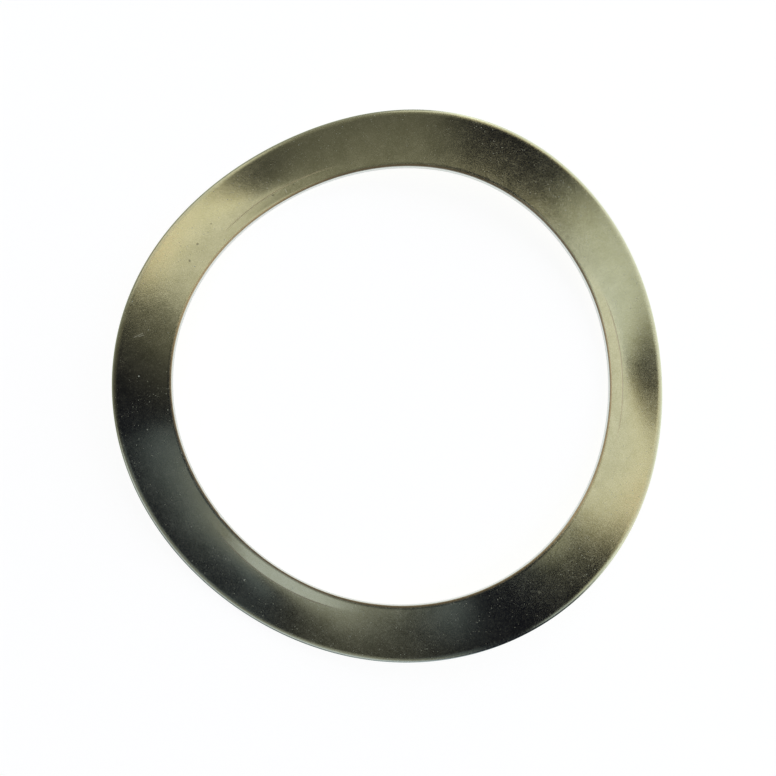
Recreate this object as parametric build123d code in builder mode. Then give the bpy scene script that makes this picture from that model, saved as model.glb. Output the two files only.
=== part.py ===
"""Wave washer: one ring of spring-steel sheet, punched round and pressed into waves.

Millimetres and degrees. Z is the ring's axis. The origin is on it, in the plane that the valleys stand on,
and the first valley lies along +X.
"""

from build123d import *
from build123d.topology import SkipClean
from itertools import pairwise
from math import cos, pi, radians, sin
import os

# The punched ring
outer_diameter = 39.5
width = 4.0  # from the bore to the outer rim
sheet = 0.5
die_roll = 0.15  # round that punching leaves on the outer rim's upper edge

# The waves
waves = 3
free_height = 3.0  # over the crests, with no load
dish = 0.35  # the inner rim's waves are this much shallower than the outer rim's
ripple = 0.1  # the inner rim stands this much higher at crests and valleys, and lower between them

# The crease in the upper face of each valley, where the forming punch ended short of the inner rim
free_band = 0.75  # ring of sheet inside the punch
crease_press = 0.22  # how far the punch's edge sank the sheet
rim_lift = 0.11  # how far the inner rim stayed up
crease_half_angle = 25.5  # a crease fades out this far to each side of its valley

# Worked out from the above
outer_radius = outer_diameter / 2
inner_radius = outer_radius - width
crease_radius = inner_radius + free_band
outer_wave = (free_height - sheet) / 2
wave_angle = 360 / waves
sections = 4 * waves  # a valley, a slope, a crest and a slope to each wave
section_angle = 360 / sections

# How it is drawn
trim = 1.0  # the pressed sheet is drawn this much wider than the ring, and cut back to it
spans = 6  # pieces of each spline
nudge = 0.01  # step that a spline's end directions are taken over


def crease_depth(angle):
    """1 in the middle of a valley, falling smoothly to 0 where its crease has faded out."""
    from_valley = abs((angle + wave_angle / 2) % wave_angle - wave_angle / 2)
    if from_valley >= crease_half_angle:
        return 0.0
    return cos(pi / 2 * from_valley / crease_half_angle) ** 2


def underside(radius, angle):
    """The point on the pressed sheet's lower face at a radius and an angle round the ring."""
    inward = (outer_radius - radius) / width
    wave = outer_wave - dish * inward
    height = outer_wave - wave * cos(radians(waves * angle))
    height += ripple * inward * cos(radians(2 * waves * angle))
    if radius < crease_radius:
        share = (crease_radius - radius) / free_band
        bend = rim_lift * share - crease_press * (1 - share)
    else:
        bend = -crease_press * (outer_radius - radius) / (outer_radius - crease_radius)
    height += bend * crease_depth(angle)
    return Vector(radius * cos(radians(angle)), radius * sin(radians(angle)), height)


def wave_line(radius):
    """One turn of the underside at a radius, as a spline to each section that runs on into the next."""
    lines = []
    for section in range(sections):
        start = (section - 0.5) * section_angle
        angles = [start + section_angle * n / spans for n in range(spans + 1)]
        ends = [underside(radius, a + nudge) - underside(radius, a - nudge) for a in (angles[0], angles[-1])]
        points = [underside(radius, a) for a in angles]
        lines.append(Spline(*points, tangents=ends, mode=Mode.PRIVATE))
    return lines


def disc(radius):
    """A flat disc well under the ring, its rim in as many arcs as the ring has sections."""
    arcs = [
        CenterArc((0, 0), radius, (section - 0.5) * section_angle, section_angle, mode=Mode.PRIVATE)
        for section in range(sections)
    ]
    return Face(Wire(arcs)).moved(Location((0, 0, -free_height)))


# The sheet is straight from rim to crease and from crease to rim, all the way round
radii = (inner_radius - trim, crease_radius, outer_radius + trim)
pressed = [
    Face.make_surface_from_curves(inner, outer)
    for inner_line, outer_line in pairwise(wave_line(radius) for radius in radii)
    for inner, outer in zip(inner_line, outer_line)
]

with BuildPart() as wave_washer:
    extrude(pressed, amount=sheet, dir=(0, 0, 1), clean=False)
    # Uncleaned, a rim's wall keeps one arc to a section, as the sheet does
    with SkipClean():
        extrude(disc(outer_radius), amount=3 * free_height, dir=(0, 0, 1), mode=Mode.INTERSECT, clean=False)
    walls = wave_washer.faces().filter_by(GeomType.CYLINDER)
    upper_rim = [wall.edges().filter_by(GeomType.LINE, reverse=True).sort_by(Axis.Z)[-1] for wall in walls]
    fillet(upper_rim, radius=die_roll)
    with SkipClean():
        extrude(disc(inner_radius), amount=3 * free_height, dir=(0, 0, 1), mode=Mode.SUBTRACT, clean=False)

wave_washer.part.label = "wave_washer"
os.makedirs("parts", exist_ok=True)
export_step(wave_washer.part, "parts/wave_washer.step")
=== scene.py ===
from math import cos, pi, radians, sin, tan

import bpy
from mathutils import Euler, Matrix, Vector


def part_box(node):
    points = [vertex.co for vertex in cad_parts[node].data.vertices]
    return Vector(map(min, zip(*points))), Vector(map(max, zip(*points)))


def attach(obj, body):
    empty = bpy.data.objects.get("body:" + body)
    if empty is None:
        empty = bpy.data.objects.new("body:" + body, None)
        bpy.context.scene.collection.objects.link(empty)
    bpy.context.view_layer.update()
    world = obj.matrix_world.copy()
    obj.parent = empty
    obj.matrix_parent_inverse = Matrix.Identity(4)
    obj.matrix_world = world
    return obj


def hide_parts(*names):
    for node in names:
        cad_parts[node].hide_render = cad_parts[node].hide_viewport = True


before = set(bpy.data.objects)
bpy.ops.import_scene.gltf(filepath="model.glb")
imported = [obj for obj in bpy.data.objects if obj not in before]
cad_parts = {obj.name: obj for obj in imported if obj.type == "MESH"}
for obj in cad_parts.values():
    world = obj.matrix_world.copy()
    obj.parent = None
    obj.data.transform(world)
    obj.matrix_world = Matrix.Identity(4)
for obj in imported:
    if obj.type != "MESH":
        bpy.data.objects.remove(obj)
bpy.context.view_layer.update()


# ---------------------------------------------------------------------------------------------
# The washer: one ring of hard spring-steel sheet, blanked round in a die, pressed into three waves
# and then tumbled until its faces have an even satin grain and its edges are no longer sharp.
# ---------------------------------------------------------------------------------------------

class Wire:
    """A value in a node tree. Plain arithmetic on it adds the Math nodes that work it out."""

    def __init__(self, bench, socket):
        self.bench = bench
        self.socket = socket

    def math(self, operation, *others):
        values = dict(enumerate((self, *others)))
        return self.bench.node("ShaderNodeMath", values, operation=operation)

    def __add__(self, other):
        return self.math("ADD", other)

    def __radd__(self, other):
        return self.math("ADD", other)

    def __sub__(self, other):
        return self.math("SUBTRACT", other)

    def __rsub__(self, other):
        return self.bench.node("ShaderNodeMath", {0: other, 1: self}, operation="SUBTRACT")

    def __mul__(self, other):
        return self.math("MULTIPLY", other)

    def __rmul__(self, other):
        return self.math("MULTIPLY", other)

    def __truediv__(self, other):
        return self.math("DIVIDE", other)

    def __rtruediv__(self, other):
        return self.bench.node("ShaderNodeMath", {0: other, 1: self}, operation="DIVIDE")

    def __neg__(self):
        return self.math("MULTIPLY", -1.0)

    def __pow__(self, other):
        return self.math("POWER", other)

    def __lt__(self, other):
        return self.math("LESS_THAN", other)

    def __abs__(self):
        return self.math("ABSOLUTE")

    def cos(self):
        return self.math("COSINE")

    def sin(self):
        return self.math("SINE")

    def least(self, other):
        return self.math("MINIMUM", other)

    def most(self, other):
        return self.math("MAXIMUM", other)

    def share(self):
        """The value, held between 0 and 1."""
        return self.most(0.0).least(1.0)

    def beside(self, output):
        """Another output of the node that this value comes from."""
        return Wire(self.bench, self.socket.node.outputs[output])


class Bench:
    """Where a node tree is put together."""

    def __init__(self, tree):
        self.tree = tree

    def node(self, kind, values=(), output=0, **settings):
        """Adds one node: its settings first, then the values or wires of its sockets."""
        made = self.tree.nodes.new(kind)
        for name, value in settings.items():
            if name == "stops":
                for element, (place, shade) in zip(made.color_ramp.elements, value):
                    element.position = place
                    element.color = (*shade, 1.0)
            else:
                setattr(made, name, value)
        for name, value in dict(values).items():
            self.plug(value, made.inputs[name])
        return Wire(self, made.outputs[output]) if made.outputs else made

    def plug(self, value, socket):
        if isinstance(value, Wire):
            self.tree.links.new(value.socket, socket)
        else:
            socket.default_value = value

    def xyz(self, vector):
        """The three parts of a vector."""
        x = self.node("ShaderNodeSeparateXYZ", {0: vector})
        return x, x.beside(1), x.beside(2)

    def keep(self, geometry, name, value, data_type="FLOAT"):
        """Stores a value on every point, for later steps and for the metal."""
        return self.node(
            "GeometryNodeStoreNamedAttribute",
            {"Geometry": geometry, "Name": name, "Value": value},
            data_type=data_type,
            domain="POINT",
        )


MM = 0.001
STEPS_ROUND = 540

record_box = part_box("wave_washer")
outer_radius = min(record_box[1].x, record_box[1].y, -record_box[0].x, -record_box[0].y)

# A size that says east or north is how much more there is on that side of the ring, and how much less
# on the other. One that says in valleys or on slopes comes round with each wave. A value with no unit
# is a share of the size that it is named after.
washer_sizes = {
    "Outer radius": outer_radius,
    "Bore radius": outer_radius - 4.0 * MM,
    "Sheet": 0.5 * MM,
    "Waves": 3.0,
    "Free height": 3.0 * MM,
    "Seat": 0.04 * MM,
    "Dish": 0.33 * MM,
    "Dish east": 0.03 * MM,
    "Dish north": 0.006 * MM,
    "Ripple": 0.06 * MM,
    "Cup": 0.07 * MM,
    "Cup in valleys": 0.010 * MM,
    "Lag": radians(2.0),
    "Lag east": radians(2.0),
    "Lag north": radians(2.5),
    "Lag in valleys": radians(-1.0),
    "Lag on slopes": radians(-1.0),
    "Free band": 1.0 * MM,
    "Free band east": 0.02,
    "Free band north": -0.04,
    "Free band taper": 0.3,
    "Crease press": 0.19 * MM,
    "Crease half angle": radians(26.0),
    "Crease fade": radians(25.5),
    "Crease east": -0.02,
    "Crease north": 0.09,
    "Bore press": 0.10 * MM,
    "Flange bow": 0.13 * MM,
    "Outer sag width": 0.40 * MM,
    "Outer sag depth": 0.05 * MM,
    "Outer roll width": 0.13 * MM,
    "Outer roll depth": 0.03 * MM,
    "Bore roll width": 0.30 * MM,
    "Bore roll depth": 0.04 * MM,
    "Bore smaller": 0.06 * MM,
    "Bore smaller east": -0.03 * MM,
    "Bore smaller north": 0.08 * MM,
    "Bore smaller on slopes": -0.06 * MM,
    "Edge break": 0.04 * MM,
    "Edge waver": 0.012 * MM,
    "Nick reach": 0.13 * MM,
    "Nick depth": 0.06 * MM,
    "Nick width": radians(1.0),
    "Nick angle": radians(218.0),
    "Facet": 0.045 * MM,
    "Under facet": 0.20 * MM,
}

tree = bpy.data.node_groups.new("press_washer", "GeometryNodeTree")
for name in washer_sizes:
    tree.interface.new_socket(name, in_out="INPUT", socket_type="NodeSocketFloat")
tree.interface.new_socket("Metal", in_out="INPUT", socket_type="NodeSocketMaterial")
tree.interface.new_socket("Washer", in_out="OUTPUT", socket_type="NodeSocketGeometry")
press = Bench(tree)
given = tree.nodes.new("NodeGroupInput")
size = {s.name: Wire(press, s) for s in given.outputs if s.name}

width = size["Outer radius"] - size["Bore radius"]
middle = (size["Outer radius"] + size["Bore radius"]) / 2

# The strip's section, with its four corners tumbled a little round
section = press.node("GeometryNodeCurvePrimitiveQuadrilateral", {"Width": width, "Height": size["Sheet"]})
section = press.node(
    "GeometryNodeFilletCurve",
    {"Curve": section, "Count": 5, "Radius": size["Edge break"], "Limit Radius": True},
    mode="POLY",
)

# Its sides are cut into facets, fine on the upper face and the walls and coarse underneath
place = press.node("GeometryNodeInputPosition")
following = press.node(
    "GeometryNodeOffsetPointInCurve",
    {"Point Index": press.node("GeometryNodeInputIndex"), "Offset": 1},
    output=1,
)
next_place = press.node(
    "GeometryNodeFieldAtIndex",
    {"Index": following, "Value": place},
    data_type="FLOAT_VECTOR",
    domain="POINT",
)
gap = press.node("ShaderNodeVectorMath", {0: place, 1: next_place}, output=1, operation="DISTANCE")
both = press.node("ShaderNodeVectorMath", {0: place, 1: next_place}, operation="ADD")
beneath = press.xyz(both)[1] < -0.9 * size["Sheet"]
facet = size["Facet"] + (size["Under facet"] - size["Facet"]) * beneath
cuts = press.node("FunctionNodeFloatToInt", {0: gap / facet}, rounding_mode="FLOOR")
section = press.node("GeometryNodeSubdivideCurve", {"Curve": section, "Cuts": cuts})

# Both rims of its upper face are rolled over, where the sheet was drawn down before the die cut it
across, through, _ = press.xyz(place)
outer_sag = ((across - width / 2) / size["Outer sag width"] + 1).most(0.0) ** 2
outer_roll = ((across - width / 2) / size["Outer roll width"] + 1).most(0.0) ** 2
bore_roll = ((-across - width / 2) / size["Bore roll width"] + 1).most(0.0) ** 2
drop = size["Outer sag depth"] * outer_sag + size["Outer roll depth"] * outer_roll
drop = drop + size["Bore roll depth"] * bore_roll
upper = (through / size["Sheet"] + 0.5).share()
rolled_place = press.node("ShaderNodeCombineXYZ", {0: across, 1: through - upper * drop, 2: 0.0})
section = press.node("GeometryNodeSetPosition", {"Geometry": section, "Position": rolled_place})
section = press.keep(section, "section", place, "FLOAT_VECTOR")

# The ring: the strip carried round once
ring = press.node("GeometryNodeCurvePrimitiveCircle", {"Resolution": STEPS_ROUND, "Radius": middle})
ring = press.keep(ring, "turn", press.node("GeometryNodeSplineParameter") * (2 * pi))
ring = press.node("GeometryNodeCurveToMesh", {"Curve": ring, "Profile Curve": section})

# Where each of its points is: how far round, how far from the bore, and how far up in the sheet
section_at = press.node("GeometryNodeInputNamedAttribute", {"Name": "section"}, data_type="FLOAT_VECTOR")
angle = press.node("GeometryNodeInputNamedAttribute", {"Name": "turn"}, data_type="FLOAT")
across, through, _ = press.xyz(section_at)
radius = middle + across
share = across / width + 0.5
upper_part = (through / size["Sheet"] + 0.5).share()


def uneven(name, where):
    """How much more or less of a size there is on the east and north sides of the ring."""
    return size[name + " east"] * where.cos() + size[name + " north"] * where.sin()


# The press: the waves stand a few degrees off an even spacing, by more on some sides than on others
wave_turn = size["Waves"] * angle
lag = size["Lag"] + uneven("Lag", angle)
lag = lag + size["Lag in valleys"] * wave_turn.cos() + size["Lag on slopes"] * wave_turn.sin()
turned = angle - lag
wave_turned = size["Waves"] * turned

# The waves are shallower at the bore, and the strip is slightly cupped between its rims
mean_height = (size["Free height"] - size["Sheet"] - size["Seat"]) / 2
dish = size["Dish"] + uneven("Dish", turned)
wave = mean_height - dish * (1 - share)
height = mean_height - wave * wave_turned.cos()
height = height + size["Ripple"] * (1 - share) * (2 * size["Waves"] * turned).cos()
cup = size["Cup"] + size["Cup in valleys"] * wave_turned.cos()
height = height - cup * 4 * share * (1 - share)

# The crease in each valley: the band inside it narrows, and it fades out, away from the valley
pitch = 2 * pi / size["Waves"]
from_valley = abs((turned + pitch / 2).math("FLOORED_MODULO", pitch) - pitch / 2)
to_end = ((size["Crease half angle"] - from_valley) / size["Crease fade"]).share()
folded = to_end * to_end * (3 - 2 * to_end)
along_crease = (from_valley / size["Crease half angle"]).least(1.0)
free_band = size["Free band"] * (1 + uneven("Free band", turned))
free_band = free_band * (1 - size["Free band taper"] * along_crease * along_crease)

crease_radius = size["Bore radius"] + free_band
inside = ((crease_radius - radius) / free_band).most(0.0)
outside = ((size["Outer radius"] - radius) / (size["Outer radius"] - crease_radius)).least(1.0)
bend = (size["Crease press"] - size["Bore press"]) * inside - size["Crease press"] * outside
bow = size["Flange bow"] * outside * (1 - outside) * (1 - 2 * outside)
height = height + (bend + bow) * folded * (1 + uneven("Crease", turned))

# The die left the bore's edge a little uneven, with one nick in it
round_at = press.node("ShaderNodeCombineXYZ", {0: angle.cos(), 1: angle.sin(), 2: through / size["Sheet"]})
waver = press.node(
    "ShaderNodeTexNoise",
    {"Vector": round_at, "Scale": 22.0, "Detail": 3.0, "Roughness": 0.6},
    noise_dimensions="3D",
)
nick = (1 - abs(angle - size["Nick angle"]) / size["Nick width"]).most(0.0)
bore_edge = (1 - share * width / size["Nick reach"]).most(0.0)
radius = radius + bore_edge * (size["Edge waver"] * waver + size["Nick depth"] * nick * upper_part)

# The bore isn't quite round or central, and the strip is stretched to meet it
smaller = size["Bore smaller"] + uneven("Bore smaller", angle)
smaller = smaller + size["Bore smaller on slopes"] * wave_turn.sin()
radius = radius - smaller * (1 - share)

ring = press.keep(ring, "fold", folded)
ring = press.keep(ring, "free_band", free_band)
top = size["Seat"] + height + through + size["Sheet"] / 2
pressed_place = press.node("ShaderNodeCombineXYZ", {0: radius * angle.cos(), 1: radius * angle.sin(), 2: top})
ring = press.node("GeometryNodeSetPosition", {"Geometry": ring, "Position": pressed_place})
ring = press.node("GeometryNodeSetShadeSmooth", {0: ring})
ring = press.node("GeometryNodeRealizeInstances", {0: ring})
ring = press.node("GeometryNodeSetMaterial", {"Geometry": ring, "Material": size["Metal"]})
finished = tree.nodes.new("NodeGroupOutput")
press.plug(ring, finished.inputs[0])

# Its metal
steel = bpy.data.materials.new("satin_spring_steel")
steel.use_nodes = True
steel.node_tree.nodes.clear()
metal = Bench(steel.node_tree)
spot = metal.node("ShaderNodeTexCoord", output=3)


def grain(scale, detail=2.0, roughness=0.5, where=spot):
    """Noise of so many grains to a millimetre, from 0 to 1."""
    return metal.node(
        "ShaderNodeTexNoise",
        {"Vector": where, "Scale": scale / MM, "Detail": detail, "Roughness": roughness},
        noise_dimensions="3D",
    )


def colour(red, green, blue):
    return (red, green, blue, 1.0)


def blend(amount, first, second):
    """The first colour where the amount is 0, the second where it is 1."""
    return metal.node(
        "ShaderNodeMix",
        {0: amount, 6: first, 7: second},
        output=2,
        data_type="RGBA",
        blend_type="MIX",
    )


def step(value, start, end):
    """0 on the start's side, 1 on the end's side, and an even ramp between them."""
    return ((value - start) / (end - start)).share()


def near(x, y, z, reach):
    """1 at a place given in millimetres, falling to 0 at the reach."""
    there = (x * MM, y * MM, z * MM)
    gap = metal.node("ShaderNodeVectorMath", {0: spot, 1: there}, output=1, operation="DISTANCE")
    return step(gap, reach * MM, 0.0)


# Grain: the tumbling stones leave small dull dents in the satin, in cloudy patches
fine = grain(11.0)
pores = grain(5.0, detail=3.0, roughness=0.7)
cloud = grain(0.9, detail=4.0, roughness=0.6)
tone = metal.node(
    "ShaderNodeValToRGB",
    {0: cloud * 0.45 + pores * 0.25 + fine * 0.3},
    stops=[(0.32, (0.47, 0.45, 0.26)), (0.68, (0.67, 0.64, 0.40))],
)
dents = step(fine * 0.5 + pores * 0.5, 0.47, 0.68)


def specks(cells, keep, smallest, largest, patches):
    """Round specks strewn over the metal: cells to a millimetre, the part of them kept, radii in cells."""
    strewn = metal.node(
        "ShaderNodeTexVoronoi",
        {"Vector": spot, "Scale": cells / MM, "Randomness": 1.0},
        voronoi_dimensions="3D",
        feature="F1",
    )
    luck = metal.node("ShaderNodeSeparateColor", {0: strewn.beside("Color")})
    kept = step(luck, 1.0 - keep * 1.1, 1.0 - keep)
    edge = smallest + (largest - smallest) * luck.beside(1)
    return step(edge - strewn, 0.0, 0.06) * kept * patches


dusty = step(grain(0.35), 0.36, 0.62)
dust = specks(3.4, 0.10, 0.08, 0.16, 0.3 + 0.7 * dusty)
fine_dust = specks(7.0, 0.24, 0.12, 0.28, dusty) * 0.5
# Small pits, dented into the relief and painted dark inside as painted shade
shaded_pits = specks(1.7, 0.10, 0.02, 0.07, 1.0)

# Where the metal is on its strip, for the finish that belongs to the rims and the folds
strip = metal.node("ShaderNodeAttribute", output=1, attribute_name="section")
fold = metal.node("ShaderNodeAttribute", output=2, attribute_name="fold")
fold_line = metal.node("ShaderNodeAttribute", output=2, attribute_name="free_band")
across, through, _ = metal.xyz(strip)
half_width = (washer_sizes["Outer radius"] - washer_sizes["Bore radius"]) / 2
from_bore = across + half_width
face = step(through, 0.0, 0.1 * MM)

# The rims have lost their straw tint in the tumbling, and the sheared walls never had it
worn = step(abs(across), half_width - 0.22 * MM, half_width - 0.04 * MM)
sheared = step(abs(across), half_width - 0.035 * MM, half_width - 0.015 * MM)
tear = through + 0.03 * MM + 0.03 * MM * (grain(2.0) - 0.5)
torn = step(tear, 0.01 * MM, -0.02 * MM) * sheared
tear_line = step(abs(tear), 0.03 * MM, 0.01 * MM) * sheared
shade = blend(worn * 0.8, tone, colour(0.86, 0.89, 0.66))
shade = blend(sheared, shade, colour(0.74, 0.82, 0.80))
shade = blend(torn, shade, colour(0.72, 0.74, 0.72))
shade = blend(tear_line * 0.6, shade, colour(0.40, 0.42, 0.42))

# Painted shade: a dark brown line along the bore's rolled upper edge
rolled = step(from_bore, 0.26 * MM, 0.06 * MM) * face
bore_edge_shade = step(abs(from_bore - 0.085 * MM), 0.11 * MM, 0.03 * MM) * step(through, 0.05 * MM, 0.15 * MM)
shade = blend(bore_edge_shade * 0.8, shade, colour(0.56, 0.37, 0.17))
# Painted highlight: a tan line along each fold, where the metal is also rougher and a little less metallic
fold_highlight = step(abs(from_bore - fold_line), 0.075 * MM, 0.02 * MM) * step(fold, 0.15, 0.5) * face
shade = blend(fold_highlight * 0.5, shade, colour(0.66, 0.56, 0.35))

# Straw tints near the outer rim, on two of the slopes
straw = (near(-16.6, 9.2, 1.9, 4.5) + near(16.6, -8.6, 1.9, 4.5)) * step(across, -0.2 * MM, 1.9 * MM)
shade = blend(straw * step(pores, 0.35, 0.65) * 0.5, shade, colour(0.72, 0.53, 0.26))

# Scratches, on the upper face
east_of, north_of, _ = metal.xyz(spot)


def scratch(start, end, breadth=0.05):
    """1 along a straight scratch between two places, given in millimetres from above."""
    run = Vector(end) - Vector(start)
    x, y = east_of - start[0] * MM, north_of - start[1] * MM
    along = (x * run.x + y * run.y) / run.length
    off = abs(x * run.y - y * run.x) / run.length
    between = step(along, 0.0, 0.08 * MM) * step(along, run.length * MM, (run.length - 0.08) * MM)
    return step(off, breadth * MM, 0.3 * breadth * MM) * between


scratches = scratch((-18.38, 2.91), (-17.69, 3.25))
scratches = scratches.most(scratch((-18.04, 2.99), (-17.60, 3.12)))
scratches = scratches.most(scratch((-17.45, 2.54), (-17.10, 2.68), 0.04) * 0.6)
scratches = scratches.most(scratch((-7.93, 13.95), (-8.12, 14.30)))
scratches = scratches * face
shade = blend(scratches * 0.7, shade, colour(0.88, 0.84, 0.62))

# A patch by the west crest that was rubbed all one way
along = 0.96 * east_of + 0.28 * north_of
off = 0.96 * north_of - 0.28 * east_of
rubbing = metal.node("ShaderNodeCombineXYZ", {0: along * 0.12, 1: off, 2: 0.0})
rubbing = grain(9.0, where=rubbing) * near(-18.0, 4.6, 2.4, 3.2)


# Single specks, and pits painted dark inside with painted shade, that are larger than the rest
def dot(x, y, z, size=0.07):
    return (near(x, y, z, size) * 2).least(1.0)


big_specks = dot(17.9, 3.5, 0.7).most(dot(-17.9, 0.2, 2.8)).most(dot(-17.3, -3.5, 2.6))
big_specks = big_specks.most(dot(-10.8, -14.2, 0.6)).most(dot(-4.2, -16.5, 1.0))
big_specks = big_specks.most(dot(9.9, -14.8, 2.8, 0.14) * 0.15).most(dot(14.7, -11.2, 2.1))
big_shaded_pits = dot(-14.8, 8.6, 1.6, 0.12).most(dot(-14.3, 9.9, 1.4, 0.12)).most(dot(-13.4, 11.5, 1.1, 0.09))
big_shaded_pits = big_shaded_pits.most(dot(-7.5, 14.6, 0.7, 0.10)).most(dot(-9.0, 13.8, 0.6, 0.10))
dust = dust.most(fine_dust).most(big_specks)
shaded_pits = shaded_pits.most(big_shaded_pits)
shade = blend(dents * 0.16, shade, colour(0.78, 0.76, 0.58))
# Painted shade: the pits are darkened almost to black inside
shade = blend(shaded_pits * 0.5, shade, colour(0.10, 0.09, 0.06))
shade = blend(dust, shade, colour(0.62, 0.65, 0.57))

relief = fine + pores * 1.5 + rubbing * 3.0 - shaded_pits * 2.0
bumps = metal.node("ShaderNodeBump", {"Strength": 1.0, "Distance": 0.0009 * MM, "Height": relief})
metallic = 1.0 - 0.013 * dents * dents - 0.06 * fold_highlight - 0.3 * scratches - 0.9 * dust
roughness = 0.15 + 0.22 * rolled + 0.06 * cloud + 0.06 * dents + 0.2 * torn + 0.25 * fold_highlight + 0.4 * dust
surface = metal.node(
    "ShaderNodeBsdfPrincipled",
    {"Base Color": shade, "Metallic": metallic, "Roughness": roughness, "Normal": bumps},
)
metal.node("ShaderNodeOutputMaterial", {"Surface": surface})

washer = bpy.data.objects.new("washer", bpy.data.meshes.new("washer"))
bpy.context.scene.collection.objects.link(washer)
pressing = washer.modifiers.new("pressing", "NODES")
pressing.node_group = tree
named = {item.name: item.identifier for item in tree.interface.items_tree if item.in_out == "INPUT"}
for name, value in washer_sizes.items():
    pressing[named[name]] = value
pressing[named["Metal"]] = steel
evaluated = washer.evaluated_get(bpy.context.evaluated_depsgraph_get())
washer.data = bpy.data.meshes.new_from_object(evaluated)
washer.data.name = "washer"
washer.modifiers.clear()
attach(washer, "root")
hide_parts("wave_washer")


# ---------------------------------------------------------------------------------------------
# The table top: a plain sheet of matt white paper, far larger than the washer that lies on it.
# The eye and polished metal see it as blank white, and it still takes the washer's shadow.
# ---------------------------------------------------------------------------------------------

FLOOR_HALF = 2.0
PAPER_SHADE = 0.25
PAPER_GLOW = 0.89

paper = bpy.data.materials.new("white_floor")
paper.use_nodes = True
paper.node_tree.nodes.clear()
mill = Bench(paper.node_tree)
camera_ray = mill.node("ShaderNodeLightPath")
seen = camera_ray.most(camera_ray.beside("Is Glossy Ray")).most(camera_ray.beside("Is Transmission Ray"))
matt = mill.node("ShaderNodeBsdfDiffuse", {"Color": colour(PAPER_SHADE, PAPER_SHADE, PAPER_SHADE)})
light = mill.node("ShaderNodeEmission", {"Color": colour(1.0, 1.0, 1.0), "Strength": PAPER_GLOW * seen})
mill.node("ShaderNodeOutputMaterial", {"Surface": mill.node("ShaderNodeAddShader", {0: matt, 1: light})})

corners = [(x * FLOOR_HALF, y * FLOOR_HALF, 0.0) for x, y in ((-1, -1), (1, -1), (1, 1), (-1, 1))]
floor = bpy.data.meshes.new("floor")
floor.from_pydata(corners, [], [(0, 1, 2, 3)])
floor.materials.append(paper)
laid = bpy.data.objects.new("floor", floor)
bpy.context.scene.collection.objects.link(laid)


# ---------------------------------------------------------------------------------------------
# The room: dim and blue overhead, lighter towards the west, with pale cool walls low down.
# ---------------------------------------------------------------------------------------------

sky = bpy.data.worlds.new("studio")
bpy.context.scene.world = sky
sky.use_nodes = True
sky.node_tree.nodes.clear()
dome = Bench(sky.node_tree)
east, north, up = dome.xyz(dome.node("ShaderNodeTexCoord", output=0))
side_level = (0.18 * north - 0.39 * east - 0.055).most(0.0)
low = ((0.30 - up) / 0.25).share()
wall_level = (0.5 + 0.3 * east + 0.1 * north).most(0.0) * low * low * (3 - 2 * low)
ceiling = dome.node("ShaderNodeBackground", {"Color": colour(0.10, 0.15, 1.0), "Strength": 0.014})
side = dome.node("ShaderNodeBackground", {"Color": colour(0.98, 0.99, 0.87), "Strength": side_level})
walls = dome.node("ShaderNodeBackground", {"Color": colour(0.74, 0.88, 1.0), "Strength": wall_level})
room = dome.node("ShaderNodeAddShader", {0: side, 1: walls})
room = dome.node("ShaderNodeAddShader", {0: ceiling, 1: room})
dome.node("ShaderNodeOutputWorld", {"Surface": room})


# ---------------------------------------------------------------------------------------------
# The lamps: flat softboxes hung round the washer, all the same way off. A polished face shows each
# of them as a light patch, so their places decide where the waves are light and where they are dark.
# ---------------------------------------------------------------------------------------------

LAMP_DISTANCE = 0.6


def softbox(name, azimuth, elevation, half_wide, half_tall, roll, level, tint):
    """A lamp aimed at the washer, its place and size in degrees as seen from there.

    Azimuth runs from east to north. Level is how light the lamp looks, where blank paper is 1.
    """
    wide, tall = (2 * LAMP_DISTANCE * tan(radians(half)) for half in (half_wide, half_tall))
    lamp = bpy.data.lights.new(name, "AREA")
    lamp.shape = "RECTANGLE"
    lamp.size = wide
    lamp.size_y = tall
    lamp.color = tint
    lamp.energy = level * pi * wide * tall
    hung = bpy.data.objects.new(name, lamp)
    bpy.context.scene.collection.objects.link(hung)
    a, e = radians(azimuth), radians(elevation)
    direction = Vector((cos(a) * cos(e), sin(a) * cos(e), sin(e)))
    hung.location = LAMP_DISTANCE * direction
    aim = direction.to_track_quat("Z", "Y").to_matrix() @ Euler((0.0, 0.0, radians(roll))).to_matrix()
    hung.rotation_euler = aim.to_euler()


# The main light, broad and low in the north-east
softbox(
    "key_light", azimuth=28, elevation=29, half_wide=55, half_tall=33, roll=7,
    level=0.96, tint=(0.95, 0.97, 1.0),
)

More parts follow.
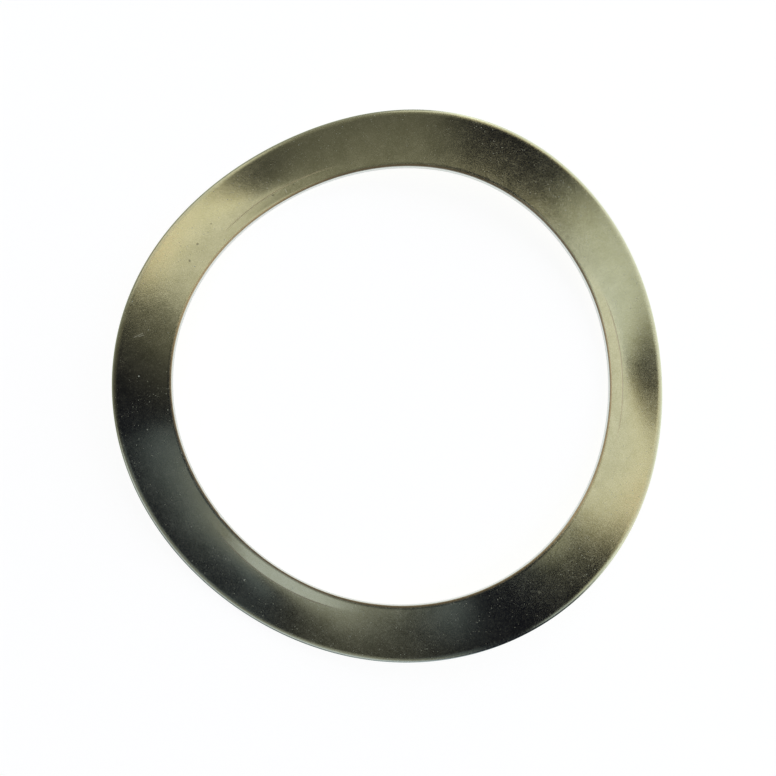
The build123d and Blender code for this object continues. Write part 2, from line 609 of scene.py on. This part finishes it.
# Three lights high on the same side: a warm strip, a plain one, and a small amber one
softbox(
    "north_strip", azimuth=69, elevation=64, half_wide=13, half_tall=3.5, roll=-4,
    level=0.9, tint=(1.0, 0.95, 0.8),
)
softbox(
    "north_light", azimuth=95, elevation=52.5, half_wide=15, half_tall=8.5, roll=0,
    level=0.7, tint=(1.0, 1.0, 1.0),
)
softbox(
    "amber_light", azimuth=28, elevation=62, half_wide=3, half_tall=6, roll=75,
    level=0.4, tint=(1.0, 0.9, 0.6),
)

# A cool light and a small warm one, high in the east
softbox(
    "east_light", azimuth=338, elevation=62, half_wide=14, half_tall=7.5, roll=-24,
    level=0.7, tint=(0.7, 0.8, 1.0),
)
softbox(
    "east_spot", azimuth=353, elevation=65, half_wide=6, half_tall=5, roll=-25,
    level=0.5, tint=(1.0, 1.0, 0.8),
)

# Cool fill from the south-west: a long low one, a middling one, and a narrow high one
softbox(
    "low_fill", azimuth=254, elevation=38, half_wide=32, half_tall=12, roll=-38,
    level=0.6, tint=(0.6, 0.7, 1.0),
)
softbox(
    "west_fill", azimuth=228, elevation=55, half_wide=17, half_tall=12, roll=0,
    level=0.3, tint=(0.9, 0.95, 1.0),
)
softbox(
    "high_fill", azimuth=251, elevation=69, half_wide=3, half_tall=9, roll=40,
    level=0.25, tint=(0.55, 0.7, 1.0),
)

# A large and very dim one in the north
softbox(
    "north_fill", azimuth=104, elevation=43, half_wide=21, half_tall=28, roll=10,
    level=0.07, tint=(1.0, 1.0, 0.85),
)


# ---------------------------------------------------------------------------------------------
# The camera: close over the washer, a little south-west of its axis, looking almost straight down.
# ---------------------------------------------------------------------------------------------

lens = bpy.data.cameras.new("camera")
lens.sensor_width = 36.0
lens.lens = 37.1
lens.clip_start = 1.0 * MM
lens.clip_end = 20.0
camera = bpy.data.objects.new("camera", lens)
bpy.context.scene.collection.objects.link(camera)
camera.location = (-2.22 * MM, -4.55 * MM, 58.7 * MM)
tilt = Euler((radians(4.02), 0, 0)).to_matrix() @ Euler((0, radians(-1.68), 0)).to_matrix()
camera.rotation_euler = tilt.to_euler()
bpy.context.scene.camera = camera
bpy.context.scene.view_settings.view_transform = "Standard"
